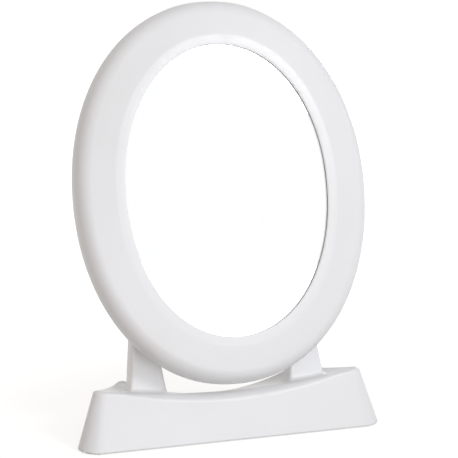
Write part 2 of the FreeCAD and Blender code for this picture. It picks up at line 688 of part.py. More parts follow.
def export(node, pieces, is_head=False):
    """Writes one node, of one solid or of several alike."""
    pieces = pieces if isinstance(pieces, list) else [pieces]
    solids = [solid for piece in pieces for solid in piece.Solids]
    if is_head:
        solids = [lean_head(solid) for solid in solids]
    shape = solids[0] if len(solids) == 1 else Part.makeCompound(solids)
    shape.exportStep("parts/" + node + ".step")
    print(node, len(solids), "solid", round(shape.Volume), "mm3", shape.isValid())


def main():
    os.makedirs("parts", exist_ok=True)
    export("base_shell", base_shell())
    export("base_plate", base_plate())
    export("base_pad", base_pad())
    export("base_plate_screws", plate_screws())
    export("ballast_screws", ballast_screws())
    for name, side in SIDES:
        export("ballast_bar_" + name, ballast_bar(side))
        export("pivot_bush_" + name, pivot_bush(side))
    export("front_bezel", front_bezel(), is_head=True)
    export("glass_gasket", glass_gasket(), is_head=True)
    export("mirror_glass", mirror_glass(), is_head=True)
    export("backing_board", backing_board(), is_head=True)
    export("rear_cover", rear_cover(), is_head=True)
    export("cover_screws", cover_screws(), is_head=True)
    for name, side in SIDES:
        export("pivot_bracket_" + name, pivot_bracket(side), is_head=True)
        export("bracket_screws_" + name, bracket_screws(side), is_head=True)
        export("pivot_bolt_" + name, pivot_bolt(side), is_head=True)
        export("pivot_nut_" + name, pivot_nut(side), is_head=True)
        export("spring_washer_" + name, spring_washer(side), is_head=True)
        export("friction_washers_" + name, friction_washers(side), is_head=True)


if __name__ == "__main__":
    main()
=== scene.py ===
"""Countertop mirror: an oval mirror head that tilts between two posts on a long scooped base.

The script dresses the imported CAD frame. Sizes are millimetres in the classes and become metres when
a mesh is made. The head is drawn upright and leaned back when it is placed, as the frame has it.
"""

import json
import logging
import math
from dataclasses import dataclass, field
from enum import Enum
from typing import Iterable, Sequence

import bmesh
import bpy
import numpy as np
import openvdb
from bpy.types import ID, Material, Mesh, Node, NodeOutputs, NodeSocket, NodeTree, Object
from mathutils import Matrix, Vector

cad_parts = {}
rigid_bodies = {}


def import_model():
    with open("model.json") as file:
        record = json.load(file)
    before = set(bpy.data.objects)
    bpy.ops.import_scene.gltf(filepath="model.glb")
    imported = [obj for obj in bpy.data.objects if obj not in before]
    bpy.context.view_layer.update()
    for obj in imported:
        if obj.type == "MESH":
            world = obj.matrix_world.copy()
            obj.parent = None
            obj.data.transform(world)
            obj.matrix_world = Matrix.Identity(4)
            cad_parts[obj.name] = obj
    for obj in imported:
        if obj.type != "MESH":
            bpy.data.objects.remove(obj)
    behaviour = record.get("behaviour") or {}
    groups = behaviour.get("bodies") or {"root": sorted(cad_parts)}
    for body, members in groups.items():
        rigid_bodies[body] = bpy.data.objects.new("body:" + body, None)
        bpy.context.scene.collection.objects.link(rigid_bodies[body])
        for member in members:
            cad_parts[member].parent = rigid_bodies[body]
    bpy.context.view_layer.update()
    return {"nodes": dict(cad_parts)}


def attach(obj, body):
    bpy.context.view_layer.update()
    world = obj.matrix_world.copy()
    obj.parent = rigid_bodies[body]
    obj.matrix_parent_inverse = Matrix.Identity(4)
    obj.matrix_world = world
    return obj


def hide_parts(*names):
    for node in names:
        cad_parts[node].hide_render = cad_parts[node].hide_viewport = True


MM = 0.001
MERGE_DISTANCE = 2e-6   # metres under which a wrapped strip's points become one
SLOT_STEP = 0.7         # radians that each screw's recess is turned further than the one before
RECESS_LENGTH = 3.6     # cross recess in a screw's head, in millimetres
RECESS_WIDTH = 0.8
RECESS_DEPTH = 1.1
EDGE_HIGHLIGHT_WHITE = "FBFAF8"   # painted highlight: the lighter tone laid on the plastic's sharp convex edges
DUST = "6C6A66"
LOG = logging.getLogger("countertop_mirror")

Triple = tuple[float, float, float]
Point = tuple[float, float]
Inputs = dict[int | str, object]
Labels = tuple[tuple[str, str], ...]     # names and kinds of a tree's inputs
Field = np.ndarray
Spot = tuple[Field, Field, Field] | Field   # distances across, from front to rear and up


class Body(Enum):
    """The rigid bodies of the frame."""

    BASE = "base"
    HEAD = "mirror_head"


class Side(Enum):
    """Which post, bracket or bolt."""

    LEFT = -1.0
    RIGHT = 1.0

    @property
    def word(self) -> str:
        """The side's name in node names.

        Returns:
            The word.
        """
        return self.name.lower()


# ---------------------------------------------------------------- node helpers


@dataclass
class NodeSketch:
    """Builds a node tree with short calls."""

    tree: NodeTree

    def __post_init__(self) -> None:
        """Empties the tree."""
        self.tree.nodes.clear()

    def add(self, kind: str, inputs: Inputs | None = None, **settings: object) -> Node:
        """Adds a node.

        Args:
            kind: The node's type name.
            inputs: An output socket, a plain value or a screen colour for each input.
            settings: Attributes to set on it.

        Returns:
            The new node.
        """
        node = self.tree.nodes.new(kind)
        for key, value in settings.items():
            setattr(node, key, value)
        self.feed(node, inputs or {})
        return node

    def feed(self, node: Node, inputs: Inputs) -> None:
        """Fills a node's inputs.

        Args:
            node: The node.
            inputs: An output socket, a plain value or a screen colour for each input.
        """
        for key, value in inputs.items():
            if isinstance(value, NodeSocket):
                self.tree.links.new(value, node.inputs[key])
            else:
                node.inputs[key].default_value = linear(value) if isinstance(value, str) else value

    def math(self, operation: str, first: object, second: object = 0.0) -> NodeSocket:
        """Adds a math node.

        Args:
            operation: The operation's name.
            first: A value or socket.
            second: A value or socket.

        Returns:
            The result socket.
        """
        return self.add("ShaderNodeMath", {0: first, 1: second}, operation=operation).outputs[0]

    def blend(self, share: object, first: object, second: object) -> NodeSocket:
        """Mixes two colours.

        Args:
            share: The second colour's share, a value or socket.
            first: A colour or socket.
            second: A colour or socket.

        Returns:
            The mixed colour.
        """
        inputs = {0: share, 6: first, 7: second}
        return self.add("ShaderNodeMix", inputs, data_type="RGBA", blend_type="MIX").outputs[2]

    def spread(self, value: object, low: float, high: float, to_low: float,
               to_high: float) -> NodeSocket:
        """Maps a value from one range to another, clamped and eased.

        Args:
            value: The value or socket.
            low: Start of the range that is read.
            high: End of the range that is read.
            to_low: Result at the start.
            to_high: Result at the end.

        Returns:
            The result socket.
        """
        inputs = dict(enumerate((value, low, high, to_low, to_high)))
        return self.add("ShaderNodeMapRange", inputs, interpolation_type="SMOOTHSTEP").outputs[0]


@dataclass
class Surface(NodeSketch):
    """A material's tree, with its shader and the object's coordinates."""

    def __post_init__(self) -> None:
        """Empties the tree and puts the shader in."""
        super().__post_init__()
        self.shader = self.add("ShaderNodeBsdfPrincipled")
        self.add("ShaderNodeOutputMaterial", {"Surface": self.shader.outputs[0]})
        self.where = self.add("ShaderNodeTexCoord").outputs["Object"]

    def noise(self, scale: float, detail: float, where: NodeSocket | None = None) -> NodeSocket:
        """Adds a noise texture.

        Args:
            scale: Waves a metre.
            detail: Octaves.
            where: Coordinates to use in place of the object's.

        Returns:
            The noise value.
        """
        inputs = {"Vector": self.where if where is None else where, "Scale": scale, "Detail": detail}
        return self.add("ShaderNodeTexNoise", inputs).outputs["Fac"]

    def bump(self, height: NodeSocket, distance: float, strength: float,
             under: NodeSocket | None = None) -> NodeSocket:
        """Adds a bump node.

        Args:
            height: The height value.
            distance: Metres of relief for a height of 1.
            strength: Share of the effect.
            under: A normal that it adds to.

        Returns:
            The bumped normal.
        """
        inputs = {"Strength": strength, "Distance": distance, "Height": height}
        if under is not None:
            inputs["Normal"] = under
        return self.add("ShaderNodeBump", inputs).outputs["Normal"]


def linear(hex_colour: str) -> tuple[float, float, float, float]:
    """Turns a screen colour into the linear one that shaders take.

    Args:
        hex_colour: Six hexadecimal digits.

    Returns:
        Linear red, green, blue and 1.
    """
    parts = [int(hex_colour[k:k + 2], 16) / 255.0 for k in (0, 2, 4)]
    values = [p / 12.92 if p <= 0.04045 else ((p + 0.055) / 1.055) ** 2.4 for p in parts]
    return (values[0], values[1], values[2], 1.0)


# ---------------------------------------------------------------- finishes


@dataclass(frozen=True)
class Finish:
    """A procedural finish of two tones. Subclasses fill in the node tree."""

    name: str
    colour: str
    shade: str = "FFFFFF"

    def material(self) -> Material:
        """Gives the finish's material, built on first use.

        Returns:
            The material.
        """
        found = bpy.data.materials.get(self.name)
        if found is not None:
            return found
        made = bpy.data.materials.new(self.name)
        made.use_nodes = True
        made.diffuse_color = linear(self.colour)
        self.dress(Surface(made.node_tree))
        return made

    def dress(self, on: Surface) -> None:
        """Wires the finish.

        Args:
            on: The material's tree.
        """
        raise NotImplementedError


@dataclass(frozen=True)
class MouldedPlastic(Finish):
    """Injection-moulded plastic: a cloudy tone, a fine tool grain, faint scuffs and a painted highlight on
    sharp edges.
    """

    shade: str = "D8D2CA"
    roughness: float = 0.42
    grain_depth: float = 0.00002
    grain_scale: float = 2600.0
    gloss: float = 0.5

    def dress(self, on: Surface) -> None:
        """Wires the plastic's cloudiness, grain and scuffs.

        Args:
            on: The material's tree.
        """
        tone = on.blend(on.spread(on.noise(14.0, 3.0), 0.3, 0.8, 0.0, 0.12), self.colour, self.shade)
        tone = on.blend(on.spread(on.noise(900.0, 1.0), 0.55, 0.8, 0.0, 0.1), tone, self.shade)
        # painted highlight: sharp convex edges, found by pointiness, are lightened towards near white
        edge = on.add("ShaderNodeNewGeometry").outputs["Pointiness"]
        tone = on.blend(on.spread(edge, 0.5, 0.62, 0.0, 0.3), tone, EDGE_HIGHLIGHT_WHITE)
        rough = on.spread(on.noise(160.0, 4.0), 0.5, 0.8, self.roughness - 0.06, self.roughness + 0.12)
        swell = on.bump(on.noise(70.0, 1.0), 0.00012, 0.25)
        grain = on.bump(on.noise(self.grain_scale, 1.0), self.grain_depth, 0.5, swell)
        on.feed(on.shader, {"Base Color": tone, "Roughness": rough, "Normal": grain,
                            "Specular IOR Level": self.gloss})


@dataclass(frozen=True)
class PlatedSteel(Finish):
    """Steel with a thin plating: a fine brushed grain, mottled brightness and duller patches."""

    shade: str = "8E8F90"
    roughness: float = 0.32
    brush_scale: float = 300.0
    brush_stretch: Triple = (1.0, 12.0, 12.0)

    def dress(self, on: Surface) -> None:
        """Wires the plating.

        Args:
            on: The material's tree.
        """
        stretched = on.add("ShaderNodeMapping", {"Vector": on.where, "Scale": self.brush_stretch}).outputs[0]
        lines = on.noise(self.brush_scale, 3.0, stretched)
        patches = on.spread(on.noise(220.0, 4.0), 0.4, 0.7, 0.0, 0.6)
        on.feed(on.shader, {
            "Base Color": on.blend(patches, self.colour, self.shade),
            "Metallic": 1.0,
            "Roughness": on.spread(lines, 0.3, 0.75, self.roughness - 0.08, self.roughness + 0.16),
            "Normal": on.bump(lines, 0.00002, 0.35),
        })


@dataclass(frozen=True)
class SilveredGlass(Finish):
    """The mirror: silver behind clear glass, with a very faint unevenness of the silver."""

    shade: str = "F9FCFB"

    def dress(self, on: Surface) -> None:
        """Wires the mirror.

        Args:
            on: The material's tree.
        """
        haze = on.noise(30.0, 2.0)
        tone = on.blend(on.spread(haze, 0.4, 0.8, 0.0, 0.3), self.colour, self.shade)
        rough = on.spread(haze, 0.4, 0.9, 0.004, 0.02)
        on.feed(on.shader, {"Base Color": tone, "Metallic": 1.0, "Roughness": rough})


@dataclass(frozen=True)
class RubberFoam(Finish):
    """Dense foam rubber: fine open cells darkened by painted shade in their hollows, a dusty tone and soft
    sheen.
    """

    shade: str = "3A3B3D"
    cell: float = 1500.0

    def dress(self, on: Surface) -> None:
        """Wires the foam.

        Args:
            on: The material's tree.
        """
        cells = on.add("ShaderNodeTexVoronoi", {"Vector": on.where, "Scale": self.cell}).outputs["Distance"]
        dust = on.spread(on.noise(40.0, 4.0), 0.45, 0.8, 0.0, 0.25)
        # painted shade: the tone darkens towards each cell's middle, the hollow of the bump
        tone = on.blend(on.spread(cells, 0.1, 0.7, 0.0, 0.8), self.colour, self.shade)
        tone = on.blend(dust, tone, DUST)
        on.feed(on.shader, {"Base Color": tone, "Roughness": 0.85, "Normal": on.bump(cells, 0.0002, 0.6)})


@dataclass(frozen=True)
class Fibreboard(Finish):
    """Pressed fibreboard: matted fibres of two browns."""

    shade: str = "5F4630"

    def dress(self, on: Surface) -> None:
        """Wires the board.

        Args:
            on: The material's tree.
        """
        fibre = on.noise(700.0, 5.0)
        tone = on.blend(on.spread(fibre, 0.3, 0.7, 0.0, 1.0), self.colour, self.shade)
        on.feed(on.shader, {"Base Color": tone, "Roughness": 0.8, "Normal": on.bump(fibre, 0.0002, 0.5)})


WHITE_PLASTIC = MouldedPlastic("white_plastic_moulded", "E8E8E9", roughness=0.36)
COVER_PLASTIC = MouldedPlastic("cover_plastic_moulded", "E4E3E0", roughness=0.55, grain_depth=0.00006,
                               grain_scale=1500.0, gloss=0.25)
GREY_PLASTIC = MouldedPlastic("grey_plastic_moulded", "A9AAAB", shade="8E8E8D", roughness=0.55)
NYLON = MouldedPlastic("nylon_natural", "E3DCC8", shade="D2C7AC", roughness=0.38)
ZINC_STEEL = PlatedSteel("zinc_steel_plated", "C9CBCC")
BRACKET_STEEL = PlatedSteel("bracket_steel_plated", "B4B6B8", shade="7F8183", roughness=0.4)
SPRING_STEEL = PlatedSteel("spring_steel_oiled", "7D7F84", shade="4F5156", roughness=0.36)
BALLAST_IRON = PlatedSteel("ballast_iron_cast", "5B5C5E", shade="38393B", roughness=0.6)
MIRROR = SilveredGlass("mirror_silvered", "FFFFFF")
DARK_RUBBER = RubberFoam("dark_rubber_foam", "232426")
GASKET_FOAM = RubberFoam("gasket_foam_grey", "2C2C2D", shade="3C3C3D", cell=2500.0)
BOARD = Fibreboard("board_pressed", "8A6A48")

SLOT_FINISH: dict[str, Finish] = {
    "white_plastic": WHITE_PLASTIC,
    "cover_plastic": COVER_PLASTIC,
    "grey_plastic": GREY_PLASTIC,
    "nylon": NYLON,
    "zinc_steel": ZINC_STEEL,
    "bracket_steel": BRACKET_STEEL,
    "spring_steel": SPRING_STEEL,
    "ballast_iron": BALLAST_IRON,
    "mirror": MIRROR,
    "dark_rubber": DARK_RUBBER,
    "gasket_foam": GASKET_FOAM,
    "board": BOARD,
}


# ---------------------------------------------------------------- mesh helpers


def new_object(name: str, data: ID) -> Object:
    """Makes an object and links it.

    Args:
        name: Its name.
        data: Its mesh, lamp or camera.

    Returns:
        The object.
    """
    made = bpy.data.objects.new(name, data)
    bpy.context.scene.collection.objects.link(made)
    return made


def new_mesh(name: str, points: Sequence[Sequence[float]], faces: Sequence[Sequence[int]] = ()) -> Mesh:
    """Makes a mesh.

    Args:
        name: Its name.
        points: Its points, in metres.
        faces: Its faces, as numbers of points.

    Returns:
        The mesh.
    """
    mesh = bpy.data.meshes.new(name)
    mesh.from_pydata(points, [], faces)
    return mesh


def close_mesh(mesh: Mesh, merge: float = 1e-6) -> None:
    """Merges doubles and turns every face outwards.

    Args:
        mesh: The mesh to mend.
        merge: Distance in metres under which points become one.
    """
    work = bmesh.new()
    work.from_mesh(mesh)
    bmesh.ops.remove_doubles(work, verts=work.verts, dist=merge)
    bmesh.ops.recalc_face_normals(work, faces=work.faces)
    work.to_mesh(mesh)
    work.free()


def ring_mesh(name: str, rings: Sequence[Sequence[Vector]], hubs: Sequence[Vector] = ()) -> Mesh:
    """Joins rings of points into a closed skin.

    Args:
        name: The mesh's name.
        rings: Rings with as many points each, in metres.
        hubs: A middle point for each end, or none for flat ends.

    Returns:
        The mesh, its faces turned outwards.
    """
    work = bmesh.new()
    skin = [[work.verts.new(point) for point in ring] for ring in rings]
    sides = len(skin[0])
    for first, second in zip(skin, skin[1:]):
        for k in range(sides):
            near = (k + 1) % sides
            work.faces.new((first[k], second[k], second[near], first[near]))
    for ring, middle in zip((skin[0], skin[-1]), hubs):
        hub = work.verts.new(middle)
        for k in range(sides):
            work.faces.new((hub, ring[k], ring[(k + 1) % sides]))
    if not hubs:
        work.faces.new(skin[0])
        work.faces.new(list(reversed(skin[-1])))
    bmesh.ops.recalc_face_normals(work, faces=work.faces)
    mesh = bpy.data.meshes.new(name)
    work.to_mesh(mesh)
    work.free()
    return mesh


def evaluated(source: Object) -> Mesh:
    """Makes a plain mesh of an object's modifier result.

    Args:
        source: The object with the modifiers.

    Returns:
        The mesh.
    """
    bpy.context.view_layer.update()
    graph = bpy.context.evaluated_depsgraph_get()
    return bpy.data.meshes.new_from_object(source.evaluated_get(graph))


def applied(source: Object, name: str, finish: Finish) -> Object:
    """Turns an object's modifier result into a piece of its own.

    Args:
        source: The object with the modifiers, which is removed.
        name: The new piece's name.
        finish: Its finish.

    Returns:
        The plain piece.
    """
    mesh = evaluated(source)
    bpy.data.objects.remove(source)
    mesh.name = name
    mesh.materials.clear()
    mesh.materials.append(finish.material())
    close_mesh(mesh)
    return new_object(name, mesh)


def cut_with(target: Object, cutter: Object) -> None:
    """Gives an object a modifier that cuts another one out of it.

    Args:
        target: The object that is cut.
        cutter: The object that is taken away.
    """
    cut = target.modifiers.new("cut", "BOOLEAN")
    cut.operation = "DIFFERENCE"
    cut.solver = "EXACT"
    cut.object = cutter


# ---------------------------------------------------------------- node trees that make pieces


@dataclass
class PieceTree:
    """A Geometry Nodes tree with named inputs. Subclasses wire what it does."""

    name: str = "piece_tree"
    labels: Labels = ()
    inputs: dict[str, str] = field(default_factory=dict)

    def tree(self) -> NodeTree:
        """Gives the tree, built on first use.

        Returns:
            The geometry node tree.
        """
        found = bpy.data.node_groups.get(self.name)
        if found is not None:
            return found
        tree = bpy.data.node_groups.new(self.name, "GeometryNodeTree")
        face = tree.interface
        face.new_socket("Geometry", in_out="INPUT", socket_type="NodeSocketGeometry")
        for label, kind in (*self.labels, ("Finish", "Material")):
            socket = face.new_socket(label, in_out="INPUT", socket_type="NodeSocket" + kind)
            self.inputs[label] = socket.identifier
        face.new_socket("Geometry", in_out="OUTPUT", socket_type="NodeSocketGeometry")
        sketch = NodeSketch(tree)
        given = sketch.add("NodeGroupInput").outputs
        real = sketch.add("GeometryNodeRealizeInstances", {"Geometry": self.wire(sketch, given)}).outputs[0]
        dressed = sketch.add("GeometryNodeSetMaterial", {"Geometry": real, "Material": given["Finish"]})
        sketch.add("NodeGroupOutput", {0: dressed.outputs[0]})
        return tree

    def wire(self, sketch: NodeSketch, given: NodeOutputs) -> NodeSocket:
        """Wires what the tree does.

        Args:
            sketch: The tree.
            given: The tree's inputs.

        Returns:
            The geometry.
        """
        raise NotImplementedError

    def apply(self, name: str, mesh: Mesh, finish: Finish, values: dict[str, object]) -> Object:
        """Makes a piece from a mesh.

        Args:
            name: The piece's name.
            mesh: The mesh that the tree works on.
            finish: The piece's finish.
            values: Input values by label.

        Returns:
            The plain piece.
        """
        carrier = new_object(mesh.name, mesh)
        modifier = carrier.modifiers.new(self.name, "NODES")
        modifier.node_group = self.tree()
        for label, value in values.items():
            modifier[self.inputs[label]] = value
        modifier[self.inputs["Finish"]] = finish.material()
        return applied(carrier, name, finish)


@dataclass
class OvalWrap(PieceTree):
    """Wraps a strip of profile round an oval and places it on the leaned head.

    A strip's points hold the inset from the outer edge in X, the depth behind the crest in Y and the
    turn round the oval in Z.
    """

    name: str = "oval_wrap"
    labels: Labels = (("Half Width", "Float"), ("Half Height", "Float"), ("Fullness", "Float"),
                      ("Lean", "Float"), ("Middle", "Vector"))

    def wire(self, sketch: NodeSketch, given: NodeOutputs) -> NodeSocket:
        """Wires the wrap.

        Args:
            sketch: The tree.
            given: The tree's inputs.

        Returns:
            The wrapped and placed strip.
        """
        position = sketch.add("GeometryNodeInputPosition").outputs[0]
        inset, depth, turn = sketch.add("ShaderNodeSeparateXYZ", {0: position}).outputs
        sides = []
        for half, wave in (("Half Width", "COSINE"), ("Half Height", "SINE")):
            value = sketch.math(wave, turn)
            rounded = sketch.math("POWER", sketch.math("ABSOLUTE", value), given["Fullness"])
            share = sketch.math("MULTIPLY", sketch.math("SIGN", value), rounded)
            sides.append(sketch.math("MULTIPLY", sketch.math("SUBTRACT", given[half], inset), share))
        upright = sketch.add("ShaderNodeCombineXYZ", {0: sides[0], 1: depth, 2: sides[1]}).outputs[0]
        leaned = sketch.add("ShaderNodeVectorRotate", {"Vector": upright, "Angle": given["Lean"]},
                            rotation_type="X_AXIS").outputs[0]
        placed = sketch.add("ShaderNodeVectorMath", {0: leaned, 1: given["Middle"]}, operation="ADD")
        moved = sketch.add("GeometryNodeSetPosition",
                           {"Geometry": given["Geometry"], "Position": placed.outputs[0]})
        merged = sketch.add("GeometryNodeMergeByDistance",
                            {"Geometry": moved.outputs[0], "Distance": MERGE_DISTANCE})
        return sketch.add("GeometryNodeSetShadeSmooth", {"Geometry": merged.outputs[0]}).outputs[0]


@dataclass
class ScrewRow(PieceTree):
    """Sets one screw on every point of a cloud and turns it to an axis."""

    name: str = "screw_row"
    labels: Labels = (("Screw", "Object"), ("Turn", "Rotation"), ("Slot Step", "Float"))

    def wire(self, sketch: NodeSketch, given: NodeOutputs) -> NodeSocket:
        """Wires the row.

        Args:
            sketch: The tree.
            given: The tree's inputs.

        Returns:
            The placed screws.
        """
        cloud = sketch.add("GeometryNodeMeshToPoints", {"Mesh": given["Geometry"]}).outputs[0]
        screw = sketch.add("GeometryNodeObjectInfo", {"Object": given["Screw"]}).outputs["Geometry"]
        index = sketch.add("GeometryNodeInputIndex").outputs[0]
        angles = sketch.add("ShaderNodeCombineXYZ", {"Z": sketch.math("MULTIPLY", index, given["Slot Step"])})
        spin = sketch.add("FunctionNodeEulerToRotation", {0: angles.outputs[0]}).outputs[0]
        turned = sketch.add("FunctionNodeRotateRotation", {"Rotation": given["Turn"], "Rotate By": spin},
                            rotation_space="LOCAL").outputs[0]
        return sketch.add("GeometryNodeInstanceOnPoints",
                          {"Points": cloud, "Instance": screw, "Rotation": turned}).outputs[0]


OVAL_WRAP = OvalWrap()
SCREW_ROW = ScrewRow()


# ---------------------------------------------------------------- screws


@dataclass(frozen=True)
class ScrewShape:
    """One cross-recessed screw, turned from its section with a modelled thread."""

    shank: float
    length: float
    head_radius: float
    head_height: float
    sunk: bool = False
    pitch: float = 0.9
    root: float = 0.8       # the thread's root as a share of the shank
    sides: int = 40

    def section(self) -> list[Point]:
        """The screw's half section from the head's middle to the point.

        Returns:
            Radius and height pairs.
        """
        if self.sunk:
            points = [(self.head_radius, 0.0), (self.head_radius, -0.15), (self.shank, -self.head_height)]
        else:
            crown = arc((self.head_radius - self.head_height * 0.6, self.head_height * 0.4),
                        (self.head_height * 0.6, self.head_height * 0.6), 90, 0, 7)
            points = [*crown, (self.head_radius, 0.12), (self.head_radius - 0.12, 0.0), (self.shank, 0.0)]
        height = points[-1][1] - self.pitch
        end = -self.length + self.shank
        root = self.shank * self.root
        while height - self.pitch > end:
            points += [(root, height), (root, height - 0.25 * self.pitch),
                       (self.shank, height - 0.55 * self.pitch), (self.shank, height - 0.65 * self.pitch)]
            height -= self.pitch
        return points + [(root, height), (root, end), (0.25, -self.length + 0.1)]

    def build(self, name: str) -> Object:
        """Makes the screw with its cross recess cut.

        Args:
            name: The object's name.

        Returns:
            The screw, which the rows copy.
        """
        section = self.section()
        turns = [2.0 * math.pi * k / self.sides for k in range(self.sides)]
        rings = [[(r * MM * math.cos(t), r * MM * math.sin(t), z * MM) for t in turns] for r, z in section]
        made = new_object(name, ring_mesh(name, rings))
        for turn in (0.0, math.pi / 2):
            cutter = self.recess(name + "_recess", section[0][1], turn)
            cut_with(made, cutter)
            made.data = evaluated(made)
            made.modifiers.clear()
            bpy.data.objects.remove(cutter)
        close_mesh(made.data)
        made.hide_render = True
        return made

    def recess(self, name: str, crown: float, turn: float) -> Object:
        """Makes one bar of the cross recess, narrower at its floor.

        Args:
            name: The cutter's name.
            crown: Height of the head's face.
            turn: The bar's turn.

        Returns:
            The cutter.
        """
        points = []
        for height, long, wide in ((crown - RECESS_DEPTH, RECESS_LENGTH * 0.62, RECESS_WIDTH * 0.7),
                                   (crown + 0.5, RECESS_LENGTH, RECESS_WIDTH)):
            for x, y in ((-long, -wide), (long, -wide), (long, wide), (-long, wide)):
                points.append(tuple(Matrix.Rotation(turn, 3, "Z") @ Vector((x / 2, y / 2, height)) * MM))
        faces = [(3, 2, 1, 0), (4, 5, 6, 7), (0, 1, 5, 4), (1, 2, 6, 5), (2, 3, 7, 6), (3, 0, 4, 7)]
        return new_object(name, new_mesh(name, points, faces))


def screw_row(name: str, shape: ScrewShape, seats: Sequence[Sequence[float]], axis: Vector, body: Body,
              slot: str, node: str) -> Object:
    """Makes a row of like screws that stands for a CAD node.

    Args:
        name: The piece's name.
        shape: The screw.
        seats: Points under the heads in the frame, in metres.
        axis: The way the heads face.
        body: The body that they ride on.
        slot: Their material slot.
        node: The CAD node that the row replaces.

    Returns:
        The row.
    """
    one = shape.build(name + "_one")
    cloud = new_mesh(name + "_seats", [tuple(seat) for seat in seats])
    values = {"Screw": one, "Turn": axis.to_track_quat("Z", "X").to_euler(), "Slot Step": SLOT_STEP}
    row = SCREW_ROW.apply(name, cloud, SLOT_FINISH[slot], values)
    bpy.data.objects.remove(one)
    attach(row, body.value)
    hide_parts(node)
    return row


def arc(centre: Point, radii: Point, start: float, end: float, steps: int,
        fullness: float = 1.0) -> list[Point]:
    """Points along part of an ellipse or of a fuller oval.

    Args:
        centre: Its middle.
        radii: Its half sizes.
        start: First angle in degrees.
        end: Last angle in degrees.
        steps: Number of runs.
        fullness: 1 for an ellipse, less for a squarer oval.

    Returns:
        The points, both ends included.
    """
    turns = np.radians(np.linspace(start, end, steps + 1))
    x, y = (np.sign(wave) * np.abs(wave) ** fullness for wave in (np.cos(turns), np.sin(turns)))
    return [(float(centre[0] + radii[0] * a), float(centre[1] + radii[1] * b)) for a, b in zip(x, y)]


COVER_SCREW = ScrewShape(shank=1.75, length=14.0, head_radius=3.5, head_height=2.2)
BRACKET_SCREW = ScrewShape(shank=1.75, length=16.0, head_radius=3.5, head_height=1.8)
FLUSH_SCREW = ScrewShape(shank=2.0, length=12.0, head_radius=3.8, head_height=2.0, sunk=True)


# ---------------------------------------------------------------- the oval head


